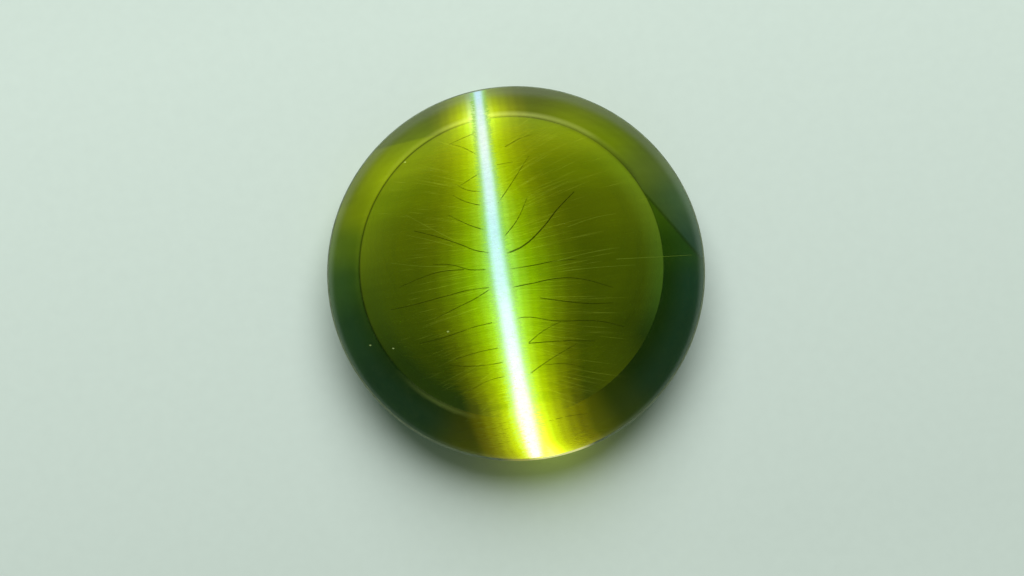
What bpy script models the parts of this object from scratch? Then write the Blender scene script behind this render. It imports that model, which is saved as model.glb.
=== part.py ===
"""Round cat's-eye cabochon: one polished stone with a dome, a thin girdle and a bevelled, flattened back.

The stone rests on its flat back. +Z points up through the dome, +Y runs along the bright eye line
and +X along the silk fibres that cause it. Sizes are in metres.
"""

import math

import bmesh
import bpy
from mathutils import Vector

# Driving sizes
DIAMETER = 0.012
DOME_HEIGHT = 0.0029
GIRDLE_BAND = 0.00022
BACK_DEPTH = 0.00168
FLAT_DIAMETER = 0.0078

# The lapidary ground the back a little off centre, so its flat lies off the dome's axis.
FLAT_CENTRE = Vector((-0.0001, 0.00025))

# Shape of the outline
DOME_FULLNESS = 1.06
BACK_BULGE = 0.00028
GIRDLE_ROUNDING = 0.00005

# Facets
SEGMENTS = 96
DOME_RINGS = 18
GIRDLE_RINGS = 3
BACK_RINGS = 5

STONE_COLOUR = (0.145, 0.205, 0.012, 1.0)
STONE_ROUGHNESS = 0.06
STONE_IOR = 1.64


def clear_scene():
    """Empty the scene, so that only the stone is in it."""
    for old in list(bpy.data.objects):
        bpy.data.objects.remove(old, do_unlink=True)


def back_profile():
    """(radius, height, share of the flat's offset) from the flat's edge up to the girdle's lower edge."""
    flat = FLAT_DIAMETER / 2
    reach = DIAMETER / 2 - GIRDLE_ROUNDING - flat
    rings = []
    for i in range(BACK_RINGS + 1):
        t = i / BACK_RINGS
        bulge = BACK_BULGE * math.sin(math.pi * t)
        radius = flat + reach * t + bulge * BACK_DEPTH / math.hypot(reach, BACK_DEPTH)
        height = BACK_DEPTH * t - bulge * reach / math.hypot(reach, BACK_DEPTH)
        rings.append((radius, height, 1.0 - t))
    return rings


def girdle_profile():
    """The thin upright band of the girdle, its middle a hair wider than its edges."""
    rings = []
    for i in range(1, GIRDLE_RINGS):
        t = i / GIRDLE_RINGS
        swell = GIRDLE_ROUNDING * math.sin(math.pi * t) / math.sin(math.pi / GIRDLE_RINGS)
        radius = DIAMETER / 2 - GIRDLE_ROUNDING + swell
        rings.append((radius, BACK_DEPTH + GIRDLE_BAND * t, 0.0))
    return rings


def dome_profile():
    """The dome from the girdle's upper edge to just under its top: part of a circle, a little filled out."""
    rim = DIAMETER / 2 - GIRDLE_ROUNDING
    sphere = (rim**2 + DOME_HEIGHT**2) / (2 * DOME_HEIGHT)
    lowest = math.acos(rim / sphere)
    rings = []
    for i in range(DOME_RINGS):
        t = i / DOME_RINGS
        angle = lowest + (math.pi / 2 - lowest) * t
        radius = sphere * math.cos(angle)
        rise = sphere * (math.sin(angle) - math.sin(lowest)) / DOME_HEIGHT
        height = BACK_DEPTH + GIRDLE_BAND + DOME_HEIGHT * rise ** (1 / DOME_FULLNESS)
        rings.append((radius, height, 0.0))
    return rings


def ring_of_points(mesh, radius, height, offset_share):
    """One closed ring of vertices, moved off the axis by its share of the flat's offset."""
    centre = FLAT_CENTRE * offset_share
    points = []
    for i in range(SEGMENTS):
        turn = 2 * math.pi * i / SEGMENTS
        x = centre.x + radius * math.cos(turn)
        y = centre.y + radius * math.sin(turn)
        points.append(mesh.verts.new((x, y, height)))
    return points


def join_rings(mesh, lower, upper):
    """A band of quads between two rings, facing out."""
    for i in range(SEGMENTS):
        j = (i + 1) % SEGMENTS
        mesh.faces.new((lower[i], lower[j], upper[j], upper[i]))


def stone_material():
    """Olive-green polished stone."""
    material = bpy.data.materials.new("cats_eye_stone")
    material.use_nodes = True
    shader = material.node_tree.nodes["Principled BSDF"]
    shader.inputs["Base Color"].default_value = STONE_COLOUR
    shader.inputs["Roughness"].default_value = STONE_ROUGHNESS
    shader.inputs["Metallic"].default_value = 0.0
    shader.inputs["IOR"].default_value = STONE_IOR
    return material


def make_cabochon():
    """The whole stone as one closed solid."""
    mesh = bmesh.new()
    outline = back_profile() + girdle_profile() + dome_profile()
    rings = [ring_of_points(mesh, *level) for level in outline]
    for lower, upper in zip(rings, rings[1:]):
        join_rings(mesh, lower, upper)

    mesh.faces.new(reversed(rings[0]))
    top = mesh.verts.new((0.0, 0.0, BACK_DEPTH + GIRDLE_BAND + DOME_HEIGHT))
    last = rings[-1]
    for i in range(SEGMENTS):
        mesh.faces.new((last[i], last[(i + 1) % SEGMENTS], top))

    data = bpy.data.meshes.new("cabochon")
    mesh.to_mesh(data)
    mesh.free()
    data.shade_smooth()
    data.set_sharp_from_angle(angle=math.radians(30))
    data.materials.append(stone_material())

    stone = bpy.data.objects.new("cabochon", data)
    bpy.context.scene.collection.objects.link(stone)
    return stone


clear_scene()
make_cabochon()
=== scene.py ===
"""Looks for the cat's-eye cabochon: a clear polished dome over a ground back, with silk inside it.

The stone rests on its flat back. +Z points up through the dome, +Y runs along the bright eye line
and +X along the silk fibres. Sizes are in metres, in the same frame as the CAD part.
"""

import logging
import math
from dataclasses import dataclass, field
from enum import Enum

import bmesh
import bpy
import numpy as np
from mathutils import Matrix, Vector


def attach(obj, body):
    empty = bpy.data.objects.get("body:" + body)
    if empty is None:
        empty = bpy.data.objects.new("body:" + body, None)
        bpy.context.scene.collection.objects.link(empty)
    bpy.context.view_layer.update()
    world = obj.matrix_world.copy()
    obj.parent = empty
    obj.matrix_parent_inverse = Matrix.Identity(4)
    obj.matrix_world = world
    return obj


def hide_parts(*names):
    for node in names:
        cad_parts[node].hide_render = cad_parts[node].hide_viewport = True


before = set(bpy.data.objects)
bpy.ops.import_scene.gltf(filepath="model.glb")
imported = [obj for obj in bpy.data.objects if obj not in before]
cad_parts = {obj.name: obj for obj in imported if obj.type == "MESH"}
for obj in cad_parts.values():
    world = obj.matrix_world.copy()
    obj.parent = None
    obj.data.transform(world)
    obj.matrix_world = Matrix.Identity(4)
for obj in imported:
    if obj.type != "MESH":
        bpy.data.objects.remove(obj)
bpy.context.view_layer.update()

MM = 0.001
BODY = "root"

Colour = tuple[float, float, float]
Socket = bpy.types.NodeSocket
Amount = float | Socket
Tint = Colour | Socket

# Colours by place, values by place, and places on the plane that the camera sees
Stops = tuple[tuple[float, Colour], ...]
Course = tuple[tuple[float, float], ...]
Places = tuple[tuple[float, float], ...]

# Where a share is none and where it is full, and a band's middle and half width
Fade = tuple[float, float]
Band = tuple[float, float]

# Radius, height and share of the flat's offset of one ring of the stone
Ring = tuple[float, float, float]

WHITE = (1.0, 1.0, 1.0)
MAP_WIDTH = 12.4 * MM

logging.basicConfig(level=logging.INFO, format="%(message)s")
log = logging.getLogger("cabochon")


class SilkLayer(Enum):
    """Where a bed of silk fibres lies in the stone."""

    BODY = "body_silk"
    CORE = "eye_silk"
    PALE = "pale_fibres"
    FOOT = "foot_silk"


class NodeGraph:
    """Short calls for building the nodes of one material or of the world."""

    def __init__(self, tree: bpy.types.NodeTree) -> None:
        """Work on one node tree."""
        self.tree = tree

    def link(self, source: Socket, target: Socket) -> None:
        """Join an output to an input."""
        self.tree.links.new(source, target)

    def feed(self, value: Amount, target: Socket) -> None:
        """Set an input from a number, or link it to an output.

        Args:
            value: The number or the output that the input takes.
            target: The input.
        """
        if isinstance(value, (int, float)):
            target.default_value = value
        else:
            self.link(value, target)

    def maths(self, operation: str, *values: Amount, clamp: bool = False) -> Socket:
        """One Math node.

        Args:
            operation: Blender's name for the operation.
            values: Its inputs in order, as numbers or outputs.
            clamp: Whether the result is kept between 0 and 1.

        Returns:
            The node's output.
        """
        node = self.tree.nodes.new("ShaderNodeMath")
        node.operation = operation
        node.use_clamp = clamp
        for value, target in zip(values, node.inputs):
            self.feed(value, target)
        return node.outputs[0]

    def fade(self, value: Socket, span: Fade) -> Socket:
        """A share that goes evenly from none to full.

        Args:
            value: The value that the share goes by.
            span: The value where the share is none, and the value where it is full.

        Returns:
            The share, from 0 to 1.
        """
        none, full = span
        slope = 1.0 / (full - none)
        return self.maths("MULTIPLY_ADD", value, slope, -none * slope, clamp=True)

    def band(self, value: Socket, at: float, half: float) -> Socket:
        """A soft band about one value.

        Args:
            value: The value across the band.
            at: The value in the band's middle.
            half: The band's half width.

        Returns:
            1 in the band's middle, 0 off it.
        """
        away = self.maths("ABSOLUTE", self.maths("SUBTRACT", value, at))
        return self.maths("SUBTRACT", 1.0, self.maths("DIVIDE", away, half), clamp=True)

    def ramp(
        self, source: Socket, stops: Stops, low: float = 0.0, high: float = 1.0, steps: str = "EASE"
    ) -> Socket:
        """A colour ramp whose stops are places in the units of its source.

        Args:
            source: The value that picks the colour.
            stops: Pairs of a place and a linear colour, in rising order.
            low: The place at the ramp's start.
            high: The place at the ramp's end.
            steps: Blender's name for the way it goes from stop to stop.

        Returns:
            The ramp's colour output.
        """
        node = self.tree.nodes.new("ShaderNodeValToRGB")
        span = high - low
        scaled = source
        if (low, high) != (0.0, 1.0):
            scaled = self.maths("MULTIPLY_ADD", source, 1 / span, -low / span)
        self.link(scaled, node.inputs[0])
        colours = node.color_ramp
        colours.interpolation = steps
        while len(colours.elements) < len(stops):
            colours.elements.new(1.0)
        for element, (place, colour) in zip(colours.elements, stops):
            element.position = (place - low) / span
            element.color = (*colour, 1.0)
        return node.outputs[0]

    def level(self, source: Socket, course: Course, low: float, high: float) -> Socket:
        """A ramp of plain values.

        Args:
            source: The value that picks the place.
            course: Pairs of a place and a value from 0 to 1, in rising order.
            low: The place at the ramp's start.
            high: The place at the ramp's end.

        Returns:
            The value at the place.
        """
        stops = tuple((at, (value, value, value)) for at, value in course)
        return self.ramp(source, stops, low, high)

    def blend(self, mode: str, first: Tint, second: Tint, share: Amount = 1.0) -> Socket:
        """Two colours put together.

        Args:
            mode: Blender's name for the way they are put together.
            first: The first colour, as an output or a linear colour.
            second: The second colour, as an output or a linear colour.
            share: How much of the second goes in.

        Returns:
            The colour output.
        """
        node = self.tree.nodes.new("ShaderNodeMix")
        node.data_type = "RGBA"
        node.blend_type = mode
        node.clamp_result = False
        self.feed(share, node.inputs[0])
        for colour, target in ((first, node.inputs[6]), (second, node.inputs[7])):
            if isinstance(colour, tuple):
                target.default_value = (*colour, 1.0)
            else:
                self.link(colour, target)
        return node.outputs[2]

    def scale(self, colour: Socket, factor: Amount) -> Socket:
        """A colour times a factor.

        Args:
            colour: The colour output.
            factor: The factor, as a number or an output.

        Returns:
            The colour output.
        """
        node = self.tree.nodes.new("ShaderNodeVectorMath")
        node.operation = "SCALE"
        self.link(colour, node.inputs[0])
        self.feed(factor, node.inputs["Scale"])
        return node.outputs[0]

    def place(self) -> tuple[Socket, Socket, Socket]:
        """Object coordinates.

        Returns:
            The vector, and its x and y outputs.
        """
        coordinates = self.tree.nodes.new("ShaderNodeTexCoord")
        split = self.tree.nodes.new("ShaderNodeSeparateXYZ")
        vector = coordinates.outputs["Object"]
        self.link(vector, split.inputs[0])
        return vector, split.outputs["X"], split.outputs["Y"]

    def squared(self, x: Socket, y: Socket) -> Socket:
        """The squared distance off the axis that two coordinates give."""
        return self.maths("ADD", self.maths("MULTIPLY", x, x), self.maths("MULTIPLY", y, y))

    def off_axis(self, x: Socket, y: Socket) -> Socket:
        """The distance off the axis in millimetres, for coordinates in metres."""
        return self.maths("DIVIDE", self.maths("SQRT", self.squared(x, y)), MM)

    def around(self, x: Socket, y: Socket) -> Socket:
        """The angle round the axis in degrees: 0 and 360 at -Y, 90 at -X, 180 at +Y, 270 at +X."""
        return self.maths("MULTIPLY_ADD", self.maths("ARCTAN2", x, y), 180 / math.pi, 180.0)

    def streaks(self, vector: Socket, scale: Colour, detail: float = 2.0) -> Socket:
        """Noise drawn out along an axis.

        Args:
            vector: The coordinates.
            scale: The noise's cells per metre along x, y and z.
            detail: How many finer layers the noise has.

        Returns:
            The noise's value output, about 0.5 in the middle.
        """
        mapping = self.tree.nodes.new("ShaderNodeMapping")
        mapping.inputs["Scale"].default_value = scale
        self.link(vector, mapping.inputs["Vector"])
        noise = self.tree.nodes.new("ShaderNodeTexNoise")
        noise.inputs["Scale"].default_value = 1.0
        noise.inputs["Detail"].default_value = detail
        self.link(mapping.outputs[0], noise.inputs["Vector"])
        return noise.outputs["Fac"]

    def grain(self, vector: Socket, scale: Colour, detail: float, contrast: float) -> Socket:
        """A factor about 1 that changes with streaked noise.

        Args:
            vector: The coordinates.
            scale: The noise's cells per metre along x, y and z.
            detail: How many finer layers the noise has.
            contrast: How far apart the factor's ends are.

        Returns:
            The factor.
        """
        noise = self.streaks(vector, scale, detail)
        return self.maths("MULTIPLY_ADD", noise, contrast, 1.0 - contrast / 2)


class Paint:
    """A material whose painted colours also glow by emission: painted light that stands in for the light the
    stone carries to them.
    """

    def __init__(self, name: str) -> None:
        """Start an empty material under a name."""
        self.material = bpy.data.materials.new(name)
        self.material.use_nodes = True
        self.graph = NodeGraph(self.material.node_tree)

    def finish(self, base: Socket, painted_glow: Socket, strength: float, roughness: float) -> bpy.types.Material:
        """Give the shader its colours and constants.

        Args:
            base: The colour in the lamps' light.
            painted_glow: The colour of the painted glow, which stands in for the stone's own light.
            strength: How strong that painted glow is.
            roughness: How dull the surface is.

        Returns:
            The finished material.
        """
        shader = self.material.node_tree.nodes["Principled BSDF"]
        self.graph.link(base, shader.inputs["Base Color"])
        self.graph.link(painted_glow, shader.inputs["Emission Color"])
        shader.inputs["Emission Strength"].default_value = strength
        shader.inputs["Roughness"].default_value = roughness
        self.material.cycles.emission_sampling = "NONE"
        return self.material


def times(colour: Colour, factor: float) -> Colour:
    """A colour with each channel times a factor."""
    red, green, blue = colour
    return red * factor, green * factor, blue * factor


@dataclass(frozen=True)
class StoneForm:
    """The stone's driving sizes, the same as the CAD part's."""

    radius: float = 6.0 * MM
    dome_height: float = 2.9 * MM
    girdle_band: float = 0.22 * MM
    back_depth: float = 1.68 * MM
    flat_radius: float = 3.9 * MM
    flat_centre: tuple[float, float] = (-0.1 * MM, 0.25 * MM)
    fullness: float = 1.06
    back_bulge: float = 0.28 * MM
    girdle_rounding: float = 0.05 * MM
    clearance: float = 0.2 * MM

    @property
    def rim(self) -> float:
        """Radius where the dome meets the girdle."""
        return self.radius - self.girdle_rounding

    @property
    def sphere(self) -> float:
        """Radius of the circle that the dome's profile follows."""
        return (self.rim**2 + self.dome_height**2) / (2 * self.dome_height)

    @property
    def dome_foot(self) -> float:
        """Height where the dome starts."""
        return self.back_depth + self.girdle_band

    def back_levels(self, count: int) -> list[Ring]:
        """Rings of the bevelled back above the flat's edge.

        Args:
            count: How many rings there are.

        Returns:
            The radius, the height and the share of the flat's offset of each ring.
        """
        reach = self.rim - self.flat_radius
        slope = math.hypot(reach, self.back_depth)
        levels = []
        for i in range(1, count + 1):
            t = i / count
            bulge = self.back_bulge * math.sin(math.pi * t)
            radius = self.flat_radius + reach * t + bulge * self.back_depth / slope
            levels.append((radius, self.back_depth * t - bulge * reach / slope, 1.0 - t))
        return levels

    def girdle_levels(self, count: int) -> list[Ring]:
        """Rings of the girdle above the back, its middle a hair wider than its edges.

        Args:
            count: How many rings there are.

        Returns:
            The radius, the height and the share of the flat's offset of each ring.
        """
        levels = []
        for i in range(1, count + 1):
            t = i / count
            swell = self.girdle_rounding * math.sin(math.pi * t)
            levels.append((self.rim + swell, self.back_depth + self.girdle_band * t, 0.0))
        return levels

    def dome_levels(self, count: int) -> list[Ring]:
        """Rings of the dome above the girdle, to just under its top.

        Args:
            count: How many rings there are.

        Returns:
            The radius, the height and the share of the flat's offset of each ring.
        """
        lowest = math.acos(self.rim / self.sphere)
        levels = []
        for i in range(1, count):
            angle = lowest + (math.pi / 2 - lowest) * i / count
            radius = self.sphere * math.cos(angle)
            levels.append((radius, float(self.dome_over(radius, 0.0)), 0.0))
        return levels

    def dome_over(self, x: np.ndarray | float, y: np.ndarray | float) -> np.ndarray:
        """Height of the dome over a place.

        Args:
            x: The place's x.
            y: The place's y.

        Returns:
            The height at each place.
        """
        off_axis = np.minimum(np.square(x) + np.square(y), self.rim**2)
        rise = (np.sqrt(self.sphere**2 - off_axis) - (self.sphere - self.dome_height)) / self.dome_height
        return self.dome_foot + self.dome_height * np.maximum(rise, 0.0) ** (1 / self.fullness)

    def back_over(self, x: np.ndarray, y: np.ndarray) -> np.ndarray:
        """A height that is safely above the flat and the bevel at a place.

        Args:
            x: The place's x.
            y: The place's y.

        Returns:
            The height at each place.
        """
        past_flat = (np.hypot(x, y) - self.flat_radius) / (self.radius - self.flat_radius)
        return self.clearance + self.back_depth * np.clip(past_flat, 0.0, 1.0)


@dataclass(frozen=True)
class EyeLine:
    """The bright line across the dome, in millimetres by place along +Y: where it runs and how wide it is."""

    reach: float = 6.0
    places: Course = (
        (-6.0, -0.29),
        (-5.3, -0.40),
        (-4.6, -0.47),
        (-2.8, -0.545),
        (-0.6, -0.575),
        (0.9, -0.55),
        (2.4, -0.465),
        (4.0, -0.395),
        (6.0, -0.28),
    )
    half_widths: Course = (
        (-6.0, 0.165),
        (-5.2, 0.215),
        (-4.6, 0.230),
        (-3.4, 0.210),
        (0.0, 0.190),
        (1.0, 0.170),
        (3.4, 0.143),
        (4.6, 0.132),
        (5.3, 0.112),
        (6.0, 0.115),
    )

    def place(self, y: np.ndarray) -> np.ndarray:
        """The line's x at each y, both in metres."""
        return np.interp(y / MM, *zip(*self.places)) * MM

    def half_width(self, y: np.ndarray) -> np.ndarray:
        """Half the bright core's width at each y, both in metres."""
        return np.interp(y / MM, *zip(*self.half_widths)) * MM

    def course(self, graph: NodeGraph, along: Socket, values: Course) -> Socket:
        """A value that changes along the line, for a material.

        Args:
            graph: The material's nodes.
            along: The place along +Y in millimetres.
            values: The value at each place, above -1.

        Returns:
            The value.
        """
        stops = tuple((at, (value + 1.0,) * 3) for at, value in values)
        raised = graph.ramp(along, stops, -self.reach, self.reach, "LINEAR")
        return graph.maths("SUBTRACT", raised, 1.0)

    def distance(self, graph: NodeGraph, x: Socket, along: Socket) -> Socket:
        """Distance off the line, for a material.

        Args:
            graph: The material's nodes.
            x: The x output in metres.
            along: The place along +Y in millimetres.

        Returns:
            The signed distance in millimetres.
        """
        return graph.maths("SUBTRACT", graph.maths("DIVIDE", x, MM), self.course(graph, along, self.places))


@dataclass(frozen=True)
class StoneColourAndPaintedLight:
    """The stone's colour with its painted light and shade, given as a glow from inside, by place under the
    dome in millimetres.
    """

    eye: EyeLine = EyeLine()
    glow_shift: Course = (
        (-6.0, 0.46),
        (-5.5, 0.17),
        (-5.1, 0.13),
        (-4.6, 0.09),
        (-3.2, 0.04),
        (-1.4, 0.03),
        (0.2, 0.06),
        (2.0, 0.06),
        (3.2, -0.02),
        (4.6, -0.04),
        (6.0, -0.10),
    )
    # The body's colour along +Y, darker towards the foot and lighter towards the top
    body: Stops = (
        (-6.0, (0.060, 0.066, 0.0010)),
        (-5.1, (0.048, 0.060, 0.0012)),
        (-3.3, (0.046, 0.066, 0.0008)),
        (-0.4, (0.058, 0.084, 0.0008)),
        (1.6, (0.082, 0.108, 0.0008)),
        (2.7, (0.112, 0.148, 0.0006)),
        (3.8, (0.178, 0.212, 0.0012)),
        (6.0, (0.175, 0.215, 0.0080)),
    )
    # Painted shade that darkens the body towards the rim in the lower half, and painted light that lightens
    # it in the upper half
    lower_rim_shade: Stops = (
        (3.0, (1.0, 1.0, 1.0)),
        (4.1, (0.66, 0.74, 1.5)),
        (4.7, (0.32, 0.48, 4.0)),
    )
    upper_rim_light: Stops = (
        (2.4, (1.0, 1.0, 1.0)),
        (3.6, (1.10, 1.13, 2.0)),
        (4.7, (1.30, 1.38, 6.0)),
    )
    # The eye's painted glow by distance off the line in its widths, then its tint and width along the line
    glow: Stops = (
        (0.20, (0.310, 0.680, 0.190)),
        (0.40, (0.270, 0.600, 0.075)),
        (0.70, (0.200, 0.420, 0.012)),
        (1.00, (0.148, 0.300, 0.0)),
        (1.40, (0.098, 0.185, 0.0)),
        (1.90, (0.050, 0.085, 0.0)),
        (2.40, (0.018, 0.026, 0.0)),
        (3.00, (0.0, 0.0, 0.0)),
    )
    glow_tint: Stops = (
        (-6.0, (3.2, 1.78, 0.9)),
        (-5.1, (2.9, 1.72, 0.9)),
        (-4.0, (2.5, 1.58, 1.0)),
        (-3.0, (1.86, 1.32, 1.1)),
        (-2.0, (1.50, 1.22, 1.1)),
        (-0.4, (1.06, 0.97, 1.0)),
        (1.6, (1.0, 0.81, 0.7)),
        (2.8, (1.28, 0.86, 0.6)),
        (3.8, (1.25, 0.80, 0.5)),
        (4.9, (2.1, 1.22, 3.2)),
        (6.0, (1.1, 0.70, 3.0)),
    )
    glow_width: Course = (
        (-6.0, 0.74),
        (-5.5, 0.67),
        (-5.1, 0.68),
        (-4.0, 0.68),
        (-3.0, 0.74),
        (-0.4, 0.92),
        (1.6, 0.80),
        (2.8, 0.63),
        (3.8, 0.56),
        (6.0, 0.55),
    )
    glow_reach: float = 3.2
    upper_part: Fade = (-2.4, 1.6)
    # A painted lit wedge at the lower right rim, where the painted shade gives way to light
    lit_wedge_slant: Band = (0.6, 0.714)
    lit_wedge_start: float = 0.5
    lit_wedge_tint: Colour = (1.1, 1.1, 1.0)

    def rim(self, graph: NodeGraph, x: Socket, along: Socket, off_axis: Socket) -> Socket:
        """Painted shade and light towards the rim: darker at the lower sides, lighter at the top, with a
        painted lit wedge at the lower right.

        Args:
            graph: The material's nodes.
            x: The x output, under the dome.
            along: The place along +Y in millimetres.
            off_axis: The distance off the axis in millimetres.

        Returns:
            The factor's colour output.
        """
        below = graph.maths("MAXIMUM", graph.maths("SUBTRACT", 0.0, along), self.lit_wedge_start)
        slant = graph.maths("DIVIDE", graph.maths("DIVIDE", x, MM), below)
        lower = graph.ramp(off_axis, self.lower_rim_shade, 0.0, self.eye.reach)
        lower = graph.blend("MIX", lower, self.lit_wedge_tint, graph.band(slant, *self.lit_wedge_slant))
        upper = graph.ramp(off_axis, self.upper_rim_light, 0.0, self.eye.reach)
        return graph.blend("MIX", lower, upper, graph.fade(along, self.upper_part))

    def build(self, graph: NodeGraph, x: Socket, y: Socket) -> tuple[Socket, Socket]:
        """The colour's nodes.

        Args:
            graph: The material's nodes.
            x: The x output, under the dome.
            y: The y output, under the dome.

        Returns:
            The body's colour with painted shade and light towards the rim, and the eye's painted glow, as
            colour outputs.
        """
        reach = self.eye.reach
        along = graph.maths("DIVIDE", y, MM)
        rim = self.rim(graph, x, along, graph.off_axis(x, y))
        body = graph.blend("MULTIPLY", graph.ramp(along, self.body, -reach, reach), rim)

        off_eye = self.eye.distance(graph, x, along)
        shift = self.eye.course(graph, along, self.glow_shift)
        off_glow = graph.maths("ABSOLUTE", graph.maths("SUBTRACT", off_eye, shift))
        width = graph.level(along, self.glow_width, -reach, reach)
        glow = graph.ramp(graph.maths("DIVIDE", off_glow, width), self.glow, 0.0, self.glow_reach)
        return body, graph.blend("MULTIPLY", glow, graph.ramp(along, self.glow_tint, -reach, reach))

    def shown(self, graph: NodeGraph, x: Socket, y: Socket) -> Socket:
        """The body's colour and painted shade with the eye's painted glow on it."""
        return graph.blend("ADD", *self.build(graph, x, y))


@dataclass(frozen=True)
class ClearDomeFinish:
    """Polished clear stone with a yellow-green body."""

    index: float = 1.64
    polish: float = 0.0
    tint: Colour = (0.70, 0.76, 0.06)
    density: float = 120.0

    def material(self) -> bpy.types.Material:
        """The finish as a material.

        Returns:
            The finished material.
        """
        material = bpy.data.materials.new("clear_polished_dome")
        material.use_nodes = True
        tree = material.node_tree
        shader = tree.nodes["Principled BSDF"]
        shader.inputs["Base Color"].default_value = (*WHITE, 1.0)
        shader.inputs["Transmission Weight"].default_value = 1.0
        shader.inputs["IOR"].default_value = self.index
        shader.inputs["Roughness"].default_value = self.polish
        absorption = tree.nodes.new("ShaderNodeVolumeAbsorption")
        absorption.inputs["Color"].default_value = (*self.tint, 1.0)
        absorption.inputs["Density"].default_value = self.density
        tree.links.new(absorption.outputs[0], tree.nodes["Material Output"].inputs["Volume"])
        return material


@dataclass(frozen=True)
class BackPlace:
    """Where a point of the back is, as outputs: under the dome, off the flat's edge and off the chord."""

    x: Socket
    y: Socket
    off_axis: Socket
    around: Socket
    off_edge: Socket
    on_bevel: Socket
    off_chord: Socket
    near_chord: Socket


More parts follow.
